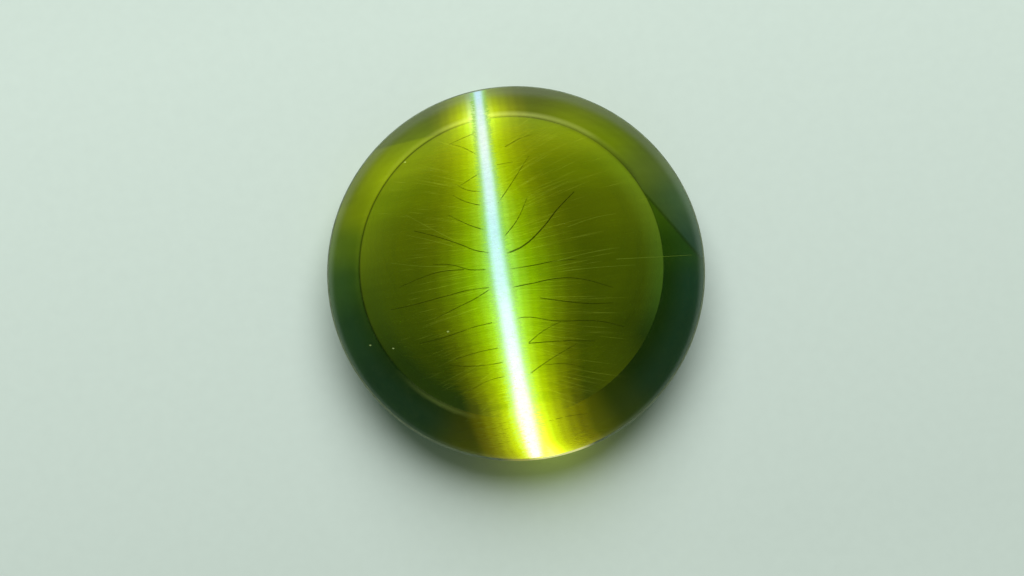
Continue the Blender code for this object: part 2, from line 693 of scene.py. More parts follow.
@dataclass(frozen=True)
class GroundBackFinish:
    """The ground flat and bevel, painted with the light and shade that the stone carries to them, which glow
    by emission.
    """

    form: StoneForm = StoneForm()
    colour: StoneColourAndPaintedLight = StoneColourAndPaintedLight()
    strength: float = 1.1
    albedo: float = 0.6

    # How the dome shows the back: larger, most of all in the middle, and leaned over
    magnified: float = 1.29
    magnified_loss: float = 0.29
    lean: tuple[float, float] = (-0.07 * MM, -0.48 * MM)

    # Where silk covers the foot of the eye line, the back carries only a share of its painted glow
    foot_share: float = 0.42
    foot_below: Fade = (-4.45, -5.117)
    foot_beside: Fade = (1.3125, 0.6875)

    # The straight edge at the right: which way it faces, how far it is off the axis, and its run along Y
    chord_facing: tuple[float, float] = (0.822, 0.570)
    chord_distance: float = 4.60
    chord_run: Band = (1.2, 2.3)
    chord_firmness: float = 2.5
    chord_right: Fade = (3.0, 4.0)
    chord_side: float = 0.0556
    # Along the edge a painted shade line, inside it a tint that takes out blue, and outside it painted light
    chord_line: Band = (-0.03, 0.07)
    chord_shade: float = 0.45
    chord_inner_tint: Colour = (0.95, 1.08, 0.35)
    chord_outer_light: Colour = (0.004, 0.004, 0.011)

    # Painted light and shade on the bevel: a painted reflection at its rim with less blue inside it, painted
    # light and shade in its upper part, and painted shade past a straight edge at the upper left
    outer_part: Fade = (4.9, 5.525)
    inner_tint: Colour = (1.0, 1.0, 0.35)
    high_part: Fade = (1.8, 3.8)
    rim_shade: Stops = (
        (4.6, (1.30, 1.30, 1.30)),
        (5.1, (1.22, 1.22, 1.25)),
        (5.4, (1.0, 1.0, 1.0)),
        (5.9, (0.48, 0.46, 0.55)),
    )
    corner_above: Fade = (4.54, 4.6114)
    corner_left: Fade = (-1.1429, -1.8571)
    corner_shade_tint: Colour = (0.70, 0.72, 1.3)

    # Painted lines along the flat's edge, of shade, soft shadow and highlight, and the painted lighter haze
    # inside it, by distance outside the edge
    edge_shade_band: Band = (0.0, 0.04)
    soft_line: Band = (0.03, 0.13)
    edge_highlight_band: Band = (0.09, 0.13)
    inner_light_part: Fade = (-0.5556, 0.0)

    # Fine lines left by the grinding
    grain: Colour = (300.0, 6000.0, 2000.0)
    grain_contrast: float = 0.2
    roughness: float = 0.5

    # Colours and shares by the angle round the axis: the bevel's colour with painted light and shade, a
    # painted reflection at its rim, a painted soft shadow right of the flat, painted shade and a painted
    # highlight along the flat's edge, and a painted lighter haze inside it
    bevel: Stops = (
        (0.0, (0.090, 0.085, 0.001)),
        (14.0, (0.038, 0.034, 0.001)),
        (24.0, (0.024, 0.027, 0.001)),
        (40.0, (0.003, 0.012, 0.003)),
        (60.0, (0.003, 0.014, 0.004)),
        (80.0, (0.007, 0.026, 0.006)),
        (95.0, (0.020, 0.052, 0.007)),
        (108.0, (0.062, 0.108, 0.005)),
        (120.0, (0.145, 0.195, 0.003)),
        (135.0, (0.208, 0.272, 0.005)),
        (152.0, (0.165, 0.222, 0.014)),
        (172.0, (0.098, 0.125, 0.020)),
        (195.0, (0.095, 0.118, 0.018)),
        (210.0, (0.130, 0.170, 0.010)),
        (225.0, (0.112, 0.160, 0.003)),
        (240.0, (0.074, 0.112, 0.005)),
        (255.0, (0.032, 0.066, 0.013)),
        (270.0, (0.010, 0.032, 0.008)),
        (284.0, (0.003, 0.019, 0.006)),
        (300.0, (0.002, 0.014, 0.004)),
        (318.0, (0.002, 0.011, 0.003)),
        (331.0, (0.012, 0.021, 0.002)),
        (345.0, (0.070, 0.075, 0.001)),
        (360.0, (0.090, 0.085, 0.001)),
    )
    rim_reflection: Stops = (
        (24.0, (0.0, 0.0, 0.0)),
        (45.0, (0.0, 0.004, 0.006)),
        (95.0, (0.0, 0.004, 0.005)),
        (120.0, (0.0, 0.0, 0.0)),
        (200.0, (0.0, 0.0, 0.0)),
        (235.0, (0.0, 0.002, 0.004)),
        (262.0, (0.0, 0.006, 0.010)),
        (315.0, (0.0, 0.004, 0.006)),
        (335.0, (0.0, 0.0, 0.0)),
    )
    right_shadow: Course = (
        (195.0, 0.0),
        (212.0, 0.32),
        (236.0, 0.38),
        (250.0, 0.0),
    )
    edge_shade: Course = (
        (50.0, 0.0),
        (70.0, 0.75),
        (150.0, 0.75),
        (176.0, 0.30),
        (200.0, 0.50),
        (240.0, 0.65),
        (262.0, 0.20),
        (300.0, 0.0),
    )
    edge_highlight: Stops = (
        (18.0, (0.0, 0.0, 0.0)),
        (36.0, (0.045, 0.055, 0.018)),
        (62.0, (0.0, 0.0, 0.0)),
        (125.0, (0.02, 0.024, 0.003)),
        (150.0, (0.08, 0.085, 0.02)),
        (178.0, (0.24, 0.26, 0.11)),
        (200.0, (0.17, 0.18, 0.085)),
        (214.0, (0.15, 0.16, 0.060)),
        (224.0, (0.04, 0.045, 0.015)),
        (236.0, (0.0, 0.0, 0.0)),
    )
    inner_haze_light: Stops = (
        (90.0, (0.0, 0.0, 0.0)),
        (110.0, (0.020, 0.026, 0.001)),
        (140.0, (0.0, 0.0, 0.0)),
        (215.0, (0.0, 0.0, 0.0)),
        (245.0, (0.030, 0.055, 0.008)),
        (285.0, (0.016, 0.046, 0.008)),
        (312.0, (0.0, 0.0, 0.0)),
    )

    def under_dome(self, graph: NodeGraph, x: Socket, y: Socket) -> list[Socket]:
        """Where a place on the back shows under the dome, which magnifies the back.

        Args:
            graph: The material's nodes.
            x: The x output on the back.
            y: The y output on the back.

        Returns:
            The x and y outputs under the dome.
        """
        out = graph.maths("DIVIDE", graph.squared(x, y), self.form.radius**2)
        fourth = graph.maths("MULTIPLY", out, out)
        factor = graph.maths("MULTIPLY_ADD", fourth, -self.magnified_loss, self.magnified)
        inner = graph.maths("SUBTRACT", 1.0, out, clamp=True)
        shown = []
        for along, lean in ((x, self.lean[0]), (y, self.lean[1])):
            leaned = graph.maths("MULTIPLY", inner, lean)
            shown.append(graph.maths("MULTIPLY_ADD", along, factor, leaned))
        return shown

    def chord(self, graph: NodeGraph, x: Socket, y: Socket) -> tuple[Socket, Socket]:
        """The straight edge that leaves the flat's rim on the right and runs to the girdle.

        Args:
            graph: The material's nodes.
            x: The x output under the dome.
            y: The y output under the dome.

        Returns:
            The distance outside the edge in millimetres, and how near the place is to its run.
        """
        across = graph.maths("MULTIPLY_ADD", x, self.chord_facing[0] / MM, -self.chord_distance)
        across = graph.maths("MULTIPLY_ADD", y, self.chord_facing[1] / MM, across)
        run = graph.band(graph.maths("DIVIDE", y, MM), *self.chord_run)
        run = graph.maths("MULTIPLY", run, self.chord_firmness, clamp=True)
        right = graph.fade(graph.maths("DIVIDE", x, MM), self.chord_right)
        return across, graph.maths("MULTIPLY", run, right)

    def find(self, graph: NodeGraph, x: Socket, y: Socket) -> BackPlace:
        """The places that the back's colours go by.

        Args:
            graph: The material's nodes.
            x: The x output on the back.
            y: The y output on the back.

        Returns:
            The places.
        """
        shown_x, shown_y = self.under_dome(graph, x, y)
        from_x = graph.maths("SUBTRACT", x, self.form.flat_centre[0])
        from_y = graph.maths("SUBTRACT", y, self.form.flat_centre[1])
        off_edge = graph.maths("SUBTRACT", graph.off_axis(from_x, from_y), self.form.flat_radius / MM)
        off_chord, near_chord = self.chord(graph, shown_x, shown_y)
        return BackPlace(
            x=shown_x,
            y=shown_y,
            off_axis=graph.off_axis(shown_x, shown_y),
            around=graph.around(shown_x, shown_y),
            off_edge=off_edge,
            on_bevel=graph.maths("GREATER_THAN", off_edge, 0.0),
            off_chord=off_chord,
            near_chord=near_chord,
        )

    def foot_part(self, graph: NodeGraph, place: BackPlace) -> Socket:
        """How much of the eye's glow the back carries: less at the line's foot, where silk covers it.

        Args:
            graph: The material's nodes.
            place: The places on the back.

        Returns:
            The share.
        """
        along = graph.maths("DIVIDE", place.y, MM)
        off_eye = graph.maths("ABSOLUTE", self.colour.eye.distance(graph, place.x, along))
        low = graph.fade(along, self.foot_below)
        near = graph.fade(off_eye, self.foot_beside)
        return graph.maths("MULTIPLY_ADD", graph.maths("MULTIPLY", low, near), self.foot_share - 1.0, 1.0)

    def upper_shade(self, graph: NodeGraph, place: BackPlace) -> Socket:
        """Painted light and shade on the bevel towards the rim at the top, and painted shade past a straight
        edge at the upper left.

        Args:
            graph: The material's nodes.
            place: The places on the back.

        Returns:
            The factor's colour output.
        """
        along = graph.maths("DIVIDE", place.y, MM)
        rim = graph.ramp(place.off_axis, self.rim_shade, 0.0, self.form.radius / MM)
        shade = graph.blend("MIX", WHITE, rim, graph.fade(along, self.high_part))
        past = graph.fade(along, self.corner_above)
        left = graph.fade(graph.maths("DIVIDE", place.x, MM), self.corner_left)
        return graph.blend("MULTIPLY", shade, self.corner_shade_tint, graph.maths("MULTIPLY", past, left))

    def bevel_colour_and_light(self, graph: NodeGraph, place: BackPlace) -> Socket:
        """The bevel's colour with painted light and shade round the axis, a painted reflection that turns it
        cooler at the rim, and its change across the chord with painted light outside it.

        Args:
            graph: The material's nodes.
            place: The places on the back.

        Returns:
            The colour output.
        """
        outer = graph.fade(place.off_axis, self.outer_part)
        outside = graph.fade(place.off_chord, (-self.chord_side, self.chord_side))
        within = graph.fade(place.off_chord, (self.chord_side, -self.chord_side))
        bevel = graph.ramp(place.around, self.bevel, 0.0, 360.0)
        bevel = graph.blend("MULTIPLY", bevel, self.inner_tint, graph.maths("SUBTRACT", 1.0, outer))
        bevel = graph.blend("ADD", bevel, graph.ramp(place.around, self.rim_reflection, 0.0, 360.0), outer)
        within = graph.maths("MULTIPLY", within, place.near_chord)
        bevel = graph.blend("MULTIPLY", bevel, self.chord_inner_tint, within)
        outside = graph.maths("MULTIPLY", outside, place.near_chord)
        return graph.blend("ADD", bevel, self.chord_outer_light, outside)

    def lines(self, graph: NodeGraph, place: BackPlace) -> Socket:
        """How much light the painted shade along the flat's edge, the painted soft shadow at its right and
        the painted shade along the chord leave.

        Args:
            graph: The material's nodes.
            place: The places on the back.

        Returns:
            The share.
        """
        edge = graph.level(place.around, self.edge_shade, 0.0, 360.0)
        edge = graph.maths("MULTIPLY", edge, graph.band(place.off_edge, *self.edge_shade_band))
        soft = graph.level(place.around, self.right_shadow, 0.0, 360.0)
        soft = graph.maths("MULTIPLY", soft, graph.band(place.off_edge, *self.soft_line))
        chord = graph.maths("MULTIPLY", graph.band(place.off_chord, *self.chord_line), place.near_chord)
        chord = graph.maths("MULTIPLY", graph.maths("MULTIPLY", chord, place.on_bevel), self.chord_shade)
        darkest = graph.maths("MAXIMUM", graph.maths("MAXIMUM", edge, chord), soft)
        return graph.maths("SUBTRACT", 1.0, darkest, clamp=True)

    def material(self) -> bpy.types.Material:
        """The finish as a material.

        Returns:
            The finished material.
        """
        paint = Paint("ground_back")
        graph = paint.graph
        vector, x, y = graph.place()
        place = self.find(graph, x, y)
        body, glow = self.colour.build(graph, place.x, place.y)
        whole = graph.blend("MIX", body, self.bevel_colour_and_light(graph, place), place.on_bevel)
        whole = graph.blend("ADD", whole, graph.scale(glow, self.foot_part(graph, place)))
        whole = graph.blend("MULTIPLY", whole, self.upper_shade(graph, place), place.on_bevel)

        # Painted lighter haze inside the flat's edge, and a painted highlight along it
        on_flat = graph.maths("SUBTRACT", 1.0, place.on_bevel)
        inside = graph.maths("MULTIPLY", graph.fade(place.off_edge, self.inner_light_part), on_flat)
        whole = graph.blend("ADD", whole, graph.ramp(place.around, self.inner_haze_light, 0.0, 360.0), inside)
        edge_highlight_colour = graph.ramp(place.around, self.edge_highlight, 0.0, 360.0)
        whole = graph.blend("ADD", whole, edge_highlight_colour, graph.band(place.off_edge, *self.edge_highlight_band))
        grain = graph.grain(vector, self.grain, 3.0, self.grain_contrast)
        whole = graph.scale(whole, graph.maths("MULTIPLY", self.lines(graph, place), grain))
        return paint.finish(graph.scale(whole, self.albedo), whole, self.strength, self.roughness)


@dataclass(frozen=True)
class GirdleFinish:
    """The thin matt girdle, which catches the lamps as a pale line, with a painted glint of the eye's light
    that glows at the line's foot.
    """

    dark: Colour = (0.12, 0.15, 0.09)
    light: Colour = (0.18, 0.22, 0.14)
    grain: Colour = (4000.0, 4000.0, 4000.0)
    roughness: float = 0.55
    # A painted glint that glows by the angle round the axis, brightest at the eye line's foot
    painted_glint: Stops = (
        (0.0, (0.65, 0.66, 0.22)),
        (7.0, (0.25, 0.23, 0.02)),
        (15.0, (0.012, 0.02, 0.005)),
        (344.0, (0.012, 0.02, 0.005)),
        (350.0, (0.60, 0.60, 0.22)),
        (360.0, (0.65, 0.66, 0.22)),
    )

    def material(self) -> bpy.types.Material:
        """The finish as a material.

        Returns:
            The finished material.
        """
        paint = Paint("matt_girdle")
        graph = paint.graph
        vector, x, y = graph.place()
        matt = graph.ramp(graph.streaks(vector, self.grain), ((0.3, self.dark), (0.7, self.light)))
        painted_glint = graph.ramp(graph.around(x, y), self.painted_glint, 0.0, 360.0)
        return paint.finish(matt, painted_glint, 1.0, self.roughness)


@dataclass(frozen=True)
class SilkFinish:
    """Silk fibres that glow with the stone's painted light round them."""

    name: str
    contrast: float
    strength: float = 1.0
    colour: StoneColourAndPaintedLight = StoneColourAndPaintedLight()
    grain: Colour = (500.0, 25000.0, 25000.0)
    albedo: float = 0.6
    roughness: float = 0.45

    def material(self) -> bpy.types.Material:
        """The finish as a material.

        Returns:
            The finished material.
        """
        paint = Paint(self.name)
        graph = paint.graph
        vector, x, y = graph.place()
        grain = graph.grain(vector, self.grain, 1.0, self.contrast)
        whole = graph.scale(self.colour.shown(graph, x, y), grain)
        return paint.finish(graph.scale(whole, self.albedo), whole, self.strength, self.roughness)


@dataclass(frozen=True)
class ThreadFinish:
    """Dark olive threads that glow with a fifth of the stone's painted light, so a little lighter near the
    eye line.
    """

    name: str
    shade: float = 0.20
    colour: StoneColourAndPaintedLight = StoneColourAndPaintedLight()
    roughness: float = 0.5

    def material(self) -> bpy.types.Material:
        """The finish as a material.

        Returns:
            The finished material.
        """
        paint = Paint(self.name)
        graph = paint.graph
        _, x, y = graph.place()
        whole = graph.scale(self.colour.shown(graph, x, y), self.shade)
        return paint.finish(whole, whole, 1.0, self.roughness)


@dataclass(frozen=True)
class PaleFinish:
    """Single fibres and specks that glow paler than the silk round them, with the stone's painted light."""

    name: str
    lift: float = 1.25
    veil: Colour = (0.042, 0.054, 0.010)
    colour: StoneColourAndPaintedLight = StoneColourAndPaintedLight()
    albedo: float = 0.6
    roughness: float = 0.4

    def material(self) -> bpy.types.Material:
        """The finish as a material.

        Returns:
            The finished material.
        """
        paint = Paint(self.name)
        graph = paint.graph
        _, x, y = graph.place()
        whole = graph.scale(self.colour.shown(graph, x, y), self.lift)
        whole = graph.blend("ADD", whole, self.veil)
        return paint.finish(graph.scale(whole, self.albedo), whole, 1.0, self.roughness)


@dataclass(frozen=True)
class EyeFinish:
    """The fibres along the eye line, whose bright line is painted as a glow."""

    eye: EyeLine = EyeLine()
    strength: float = 0.9
    albedo: float = 0.25
    roughness: float = 0.4
    grain: Colour = (3000.0, 12000.0, 12000.0)
    grain_contrast: float = 0.25
    grain_least: float = 0.89
    core_reach: float = 3.0
    # The painted bright line: its glowing colour by distance off the line in half widths, then its tint along
    # the line
    core: Stops = (
        (0.0, (0.62, 0.94, 0.91)),
        (0.5, (0.60, 0.94, 0.89)),
        (0.9, (0.53, 0.90, 0.70)),
        (1.15, (0.45, 0.83, 0.48)),
        (1.45, (0.38, 0.74, 0.26)),
        (1.8, (0.34, 0.69, 0.13)),
        (2.3, (0.32, 0.66, 0.06)),
        (3.0, (0.30, 0.62, 0.03)),
    )
    along: Stops = (
        (-6.0, (2.4, 1.38, 1.05)),
        (-5.0, (1.90, 1.34, 1.05)),
        (-3.5, (1.55, 1.24, 1.08)),
        (-1.8, (1.30, 1.12, 1.05)),
        (-0.3, (1.04, 1.0, 1.0)),
        (1.0, (0.96, 0.96, 0.98)),
        (2.5, (1.10, 0.96, 0.96)),
        (4.2, (1.30, 0.98, 0.93)),
        (5.0, (1.20, 0.96, 0.95)),
        (5.9, (0.90, 0.84, 0.98)),
    )

    def material(self) -> bpy.types.Material:
        """The finish as a material.

        Returns:
            The finished material.
        """
        paint = Paint("eye_silk")
        graph = paint.graph
        vector, x, y = graph.place()
        along = graph.maths("DIVIDE", y, MM)
        away = graph.maths("ABSOLUTE", self.eye.distance(graph, x, along))
        share = graph.maths("DIVIDE", away, self.eye.course(graph, along, self.eye.half_widths))
        core = graph.ramp(share, self.core, 0.0, self.core_reach)
        tint = graph.ramp(along, self.along, -self.eye.reach, self.eye.reach)
        noise = graph.streaks(vector, self.grain)
        grain = graph.maths("MULTIPLY_ADD", noise, self.grain_contrast, self.grain_least)
        whole = graph.scale(graph.blend("MULTIPLY", core, tint), grain)
        return paint.finish(graph.scale(whole, self.albedo), whole, self.strength, self.roughness)


# What a piece inside the stone can be finished with
Finish = SilkFinish | ThreadFinish | PaleFinish | EyeFinish


def settle(piece: bpy.types.Object) -> None:
    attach(piece, BODY)


def deselect_all() -> None:
    """Leave nothing selected, the CAD nodes included."""
    bpy.ops.object.select_all(action="DESELECT")


@dataclass
class PolishedStone:
    """The stone's skin: a clear dome over a ground girdle, bevel and flat."""

    form: StoneForm
    dome_finish: ClearDomeFinish = field(default_factory=ClearDomeFinish)
    back_finish: GroundBackFinish = field(default_factory=GroundBackFinish)
    girdle_finish: GirdleFinish = field(default_factory=GirdleFinish)
    segments: int = 256
    back_rings: int = 22
    girdle_rings: int = 6
    dome_rings: int = 90
    sharp_angle: float = 14.0

    def raise_ring(self, before: Ring, after: Ring) -> None:
        """Extrude the selected cap to the next ring and size it.

        Args:
            before: Radius, height and offset share of the ring that the cap stands on.
            after: The same for the ring that it moves to.
        """
        centre_x, centre_y = self.form.flat_centre
        shift = after[2] - before[2]
        move = (centre_x * shift, centre_y * shift, after[1] - before[1])
        bpy.ops.mesh.extrude_region_move(TRANSFORM_OT_translate={"value": move})
        ratio = after[0] / before[0]
        middle = (centre_x * after[2], centre_y * after[2], after[1])
        bpy.ops.transform.resize(value=(ratio, ratio, 1.0), center_override=middle)

    def build(self) -> bpy.types.Object:
        """Raise the stone ring by ring from its flat, and dress it.

        Returns:
            The finished piece.
        """
        deselect_all()
        form = self.form
        bpy.ops.mesh.primitive_circle_add(
            vertices=self.segments,
            radius=form.flat_radius,
            fill_type="NGON",
            location=(*form.flat_centre, 0.0),
        )
        piece = bpy.context.object
        piece.name = "polished_stone"
        bpy.ops.object.transform_apply(location=True, rotation=False, scale=False)
        bpy.ops.object.mode_set(mode="EDIT")
        bpy.ops.mesh.select_all(action="SELECT")
        levels = form.back_levels(self.back_rings)
        levels += form.girdle_levels(self.girdle_rings)
        levels += form.dome_levels(self.dome_rings)
        before = (form.flat_radius, 0.0, 1.0)
        for level in levels:
            self.raise_ring(before, level)
            before = level
        rise = form.dome_foot + form.dome_height - before[1]
        bpy.ops.mesh.extrude_region_move(TRANSFORM_OT_translate={"value": (0.0, 0.0, rise)})
        bpy.ops.mesh.merge(type="CENTER")
        bpy.ops.mesh.select_all(action="SELECT")
        bpy.ops.mesh.normals_make_consistent(inside=False)
        bpy.ops.object.mode_set(mode="OBJECT")
        bpy.ops.object.shade_smooth_by_angle(angle=math.radians(self.sharp_angle))
        self.dress(piece)
        return piece

    def dress(self, piece: bpy.types.Object) -> None:
        """Give the dome, the girdle and the back their finishes.

        Args:
            piece: The stone, whose faces tell by their height what they belong to.
        """
        for finish in (self.dome_finish, self.girdle_finish, self.back_finish):
            piece.data.materials.append(finish.material())
        for polygon in piece.data.polygons:
            level = polygon.center.z
            polygon.material_index = int(level < self.form.dome_foot) + int(level < self.form.back_depth)
        settle(piece)
        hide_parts("cabochon")


@dataclass
class SilkBed:
    """Fine fibres that lie along X at one depth range inside the stone, as one joined mesh."""

    form: StoneForm
    eye: EyeLine
    layer: SilkLayer
    count: int
    spread: float
    depths: tuple[float, float]
    half_lengths: tuple[float, float]
    radii: tuple[float, float]
    tilt: float
    seed: int
    finish: Finish
    reach: float = 5.95 * MM
    fan_share: float = 0.3
    skin: float = 0.04 * MM

    # How far the core goes from the line, in its half widths
    core_reach: float = 2.4

    # Where the foot's fibres end and how they crowd towards the rim
    foot_top: float = 4.35 * MM
    foot_crowding: float = 1.3
    foot_shift: float = 0.22 * MM

    # How far off the line the pale fibres start
    pale_gap: float = 0.9 * MM

    # How the fibres fan out: the turn's width, the height where they lie straight, and the fading
    fan_turn: float = 0.3
    fan_level: float = -0.2
    fan_fading: float = 2.0

    # How much less the fibres tilt up and down than to the side
    upward_share: float = 0.4

    # How often a fibre that stands out of the stone is shortened, and by what factor
    shortenings: int = 6
    shorter: float = 0.7

    def scatter(self, draw: np.random.Generator) -> tuple[np.ndarray, np.ndarray, np.ndarray]:
        """Fibre centres with their lengths and thicknesses, before any is cut to fit.

        Args:
            draw: The source of random numbers.

        Returns:
            The centres, the half lengths and the radii.
        """
        reach = self.form.rim - self.skin
        y = draw.uniform(-reach, reach, self.count)
        around = draw.normal(0.0, 1.0, self.count)
        if self.layer is SilkLayer.CORE:
            around = draw.triangular(-self.core_reach, 0.0, self.core_reach, self.count)
            x = self.eye.place(y) + around * self.eye.half_width(y) * self.spread
        elif self.layer is SilkLayer.FOOT:
            up = draw.uniform(0.0, 1.0, self.count) ** self.foot_crowding
            y = -self.reach + (self.reach - self.foot_top) * up
            x = self.eye.place(y) + self.foot_shift + around * self.spread
        elif self.layer is SilkLayer.PALE:
            side = np.where(around < 0.0, -1.0, 1.0)
            x = self.eye.place(y) + side * (self.pale_gap + np.abs(around) * self.spread)
        else:
            x = self.eye.place(y) + around * self.spread
        half = draw.uniform(*self.half_lengths, self.count)
        radius = draw.uniform(*self.radii, self.count)
        z = self.form.dome_over(x, y) - draw.uniform(*self.depths, self.count)
        return np.column_stack((x, y, z)), half, radius

    def fan(self, centres: np.ndarray) -> np.ndarray:
        """How far each fibre leans towards +Y per length along +X: they spread out away from the eye.

        Args:
            centres: The fibres' centres.

        Returns:
            The lean of each fibre.
        """
        x, y, _ = centres.T
        off_eye = (x - self.eye.place(y)) / MM
        side = np.tanh(off_eye / self.fan_turn)
        return self.fan_share / 2 * side * (y / MM - self.fan_level) / (np.abs(off_eye) + self.fan_fading)

    def fits(self, centres: np.ndarray, half: np.ndarray) -> np.ndarray:
        """Whether each fibre lies wholly inside the stone.

        Args:
            centres: The fibres' centres.
            half: Their half lengths.

        Returns:
            True for each fibre that fits.
        """
        x, y, z = centres.T
        far = np.abs(x) + half
        under_dome = self.form.dome_over(far, y) - self.skin > z
        over_back = self.form.back_over(far, y) < z
        return under_dome & over_back & (np.hypot(far, y) < min(self.reach, self.form.rim - self.skin))

    def build(self) -> bpy.types.Object:
        """Scatter the fibres, shorten those that stand out and join them.

        Returns:
            The finished piece.
        """
        draw = np.random.default_rng(self.seed)
        centres, half, radius = self.scatter(draw)
        for _ in range(self.shortenings):
            half = np.where(self.fits(centres, half), half, half * self.shorter)
        kept = self.fits(centres, half)
        centres, half, radius = centres[kept], half[kept], radius[kept]
        lean = draw.normal(0.0, self.tilt, (len(half), 2)) * (1.0, self.upward_share)
        lean[:, 0] += self.fan(centres)
        directions = np.column_stack((np.ones(len(half)), lean))
        turns = draw.uniform(0.0, 2 * math.pi, len(half))
        piece = join_fibres(self.layer.value, centres, directions, half, radius, turns)
        dress(piece, self.finish)
        return piece


def join_fibres(
    name: str,
    centres: np.ndarray,
    directions: np.ndarray,
    half: np.ndarray,
    radius: np.ndarray,
    turns: np.ndarray,
) -> bpy.types.Object:
    """Closed fibres, pointed at both ends and three-sided in the middle, as one mesh.

    Args:
        name: The piece's name.
        centres: The middle of each fibre.
        directions: The way each fibre runs.
        half: Half of each fibre's length.
        radius: Each fibre's radius in the middle.
        turns: How far each fibre is turned about its own axis.

    Returns:
        The joined piece.
    """
    sides = 3
    tip = sides + 1
    along = directions / np.linalg.norm(directions, axis=1, keepdims=True)
    sideways = np.cross(along, (0.0, 0.0, 1.0))
    sideways /= np.linalg.norm(sideways, axis=1, keepdims=True)
    upwards = np.cross(sideways, along)
    points = np.empty((len(centres), tip + 1, 3))
    points[:, 0] = centres - along * half[:, None]
    points[:, tip] = centres + along * half[:, None]
    fibre = []
    for side in range(sides):
        angle = (turns + 2 * math.pi * side / sides)[:, None]
        ring = np.cos(angle) * sideways + np.sin(angle) * upwards
        points[:, side + 1] = centres + ring * radius[:, None]
        corner, following = side + 1, (side + 1) % sides + 1
        fibre += [(0, following, corner), (tip, corner, following)]
    faces = (np.arange(len(centres))[:, None, None] * (tip + 1) + np.array(fibre)).reshape(-1, 3)
    data = bpy.data.meshes.new(name)
    data.from_pydata(points.reshape(-1, 3).tolist(), [], faces.tolist())
    work = bmesh.new()
    work.from_mesh(data)
    bmesh.ops.recalc_face_normals(work, faces=work.faces)
    work.to_mesh(data)
    work.free()
    piece = bpy.data.objects.new(name, data)
    bpy.context.scene.collection.objects.link(piece)
    return piece


def map_from_above(piece: bpy.types.Object) -> None:
    """Give a piece a map of its places seen from above, so that its colours bake by place.

    Args:
        piece: The piece.
    """
    data = piece.data
    corners = np.empty(len(data.loops), np.int32)
    data.loops.foreach_get("vertex_index", corners)
    places = np.empty(len(data.vertices) * 3, np.float32)
    data.vertices.foreach_get("co", places)
    above = places.reshape(-1, 3)[corners, :2] / MAP_WIDTH + 0.5
    data.uv_layers.new(name="OFBake").data.foreach_set("uv", above.astype(np.float32).ravel())


def dress(piece: bpy.types.Object, finish: Finish) -> None:
    """Give a piece its finish, its map and its place in the frame.

    Args:
        piece: The piece.
        finish: Its finish.
    """
    piece.data.materials.append(finish.material())
    map_from_above(piece)
    settle(piece)


def join_smooth(parts: list[bpy.types.Object], name: str) -> bpy.types.Object:
    """Join objects into one smooth piece, curves as meshes.

    Args:
        parts: The objects.
        name: The piece's name.

    Returns:
        The piece, at the origin.
    """
    deselect_all()
    for part in parts:
        part.select_set(True)
    bpy.context.view_layer.objects.active = parts[0]
    bpy.ops.object.convert(target="MESH")
    bpy.ops.object.join()
    bpy.ops.object.transform_apply(location=True, rotation=False, scale=False)
    bpy.ops.object.shade_smooth()
    piece = bpy.context.object
    piece.name = name
    return piece


@dataclass(frozen=True)
class ThreadPath:
    """One thread: places right of and above the stone's middle as the camera sees it, in millimetres."""

    places: Places
    radius: float = 0.013
    depth: float = 0.20


@dataclass(frozen=True)
class CameraView:
    """The way the camera looks at the stone, and the points in the stone that it sees."""

    form: StoneForm
    turn: float = -9.2
    rise: float = 82.7

    def back(self) -> Vector:
        """The way from the stone to the camera.

        Returns:
            The way, one metre long.
        """
        turn = math.radians(self.turn)
        rise = math.radians(self.rise)
        return Vector((math.sin(turn) * math.cos(rise), -math.cos(turn) * math.cos(rise), math.sin(rise)))

    def under_dome(self, right: float, up: float, depth: float) -> Vector:
        """The point at one depth in the dome that the camera sees at a place.

        Args:
            right: The place's distance right of the stone's middle.
            up: Its distance above the stone's middle.
            depth: The point's depth under the dome.

        Returns:
            The point.
        """
        turn = math.radians(self.turn)
        x = right * math.cos(turn) - up * math.sin(turn)
        y = up * math.cos(turn) + right * math.sin(turn)
        level = float(self.form.dome_over(x, y)) - self.form.dome_foot
        back = self.back()
        x += back.x / back.z * level
        y += back.y / back.z * level
        return Vector((x, y, float(self.form.dome_over(x, y)) - depth))


@dataclass
class GrowthThreads:
    """Hair-fine threads inside the stone, as one joined mesh."""

    name: str
    view: CameraView
    paths: tuple[ThreadPath, ...]
    finish: Finish
    thickness: float = 1.15
    taper: float = 0.6

    def draw(self, path: ThreadPath) -> bpy.types.Object:
        """One thread as a tapered tube.

        Args:
            path: Where the thread runs.

        Returns:
            The thread's own object.
        """
        curve = bpy.data.curves.new("thread", "CURVE")
        curve.dimensions = "3D"
        curve.bevel_depth = path.radius * self.thickness * MM
        curve.bevel_resolution = 1
        curve.resolution_u = 8
        curve.use_fill_caps = True
        spline = curve.splines.new("BEZIER")
        last = len(path.places) - 1
        spline.bezier_points.add(last)
        for i, (point, (right, up)) in enumerate(zip(spline.bezier_points, path.places)):
            point.co = self.view.under_dome(right * MM, up * MM, path.depth * MM)
            point.handle_left_type = "AUTO"
            point.handle_right_type = "AUTO"
            point.radius = 1.0 - self.taper * i / last
        thread = bpy.data.objects.new("thread", curve)
        bpy.context.scene.collection.objects.link(thread)
        return thread

    def build(self) -> bpy.types.Object:
        """Draw the threads and join them.

        Returns:
            The finished piece.
        """
        piece = join_smooth([self.draw(path) for path in self.paths], self.name)
        dress(piece, self.finish)
        return piece


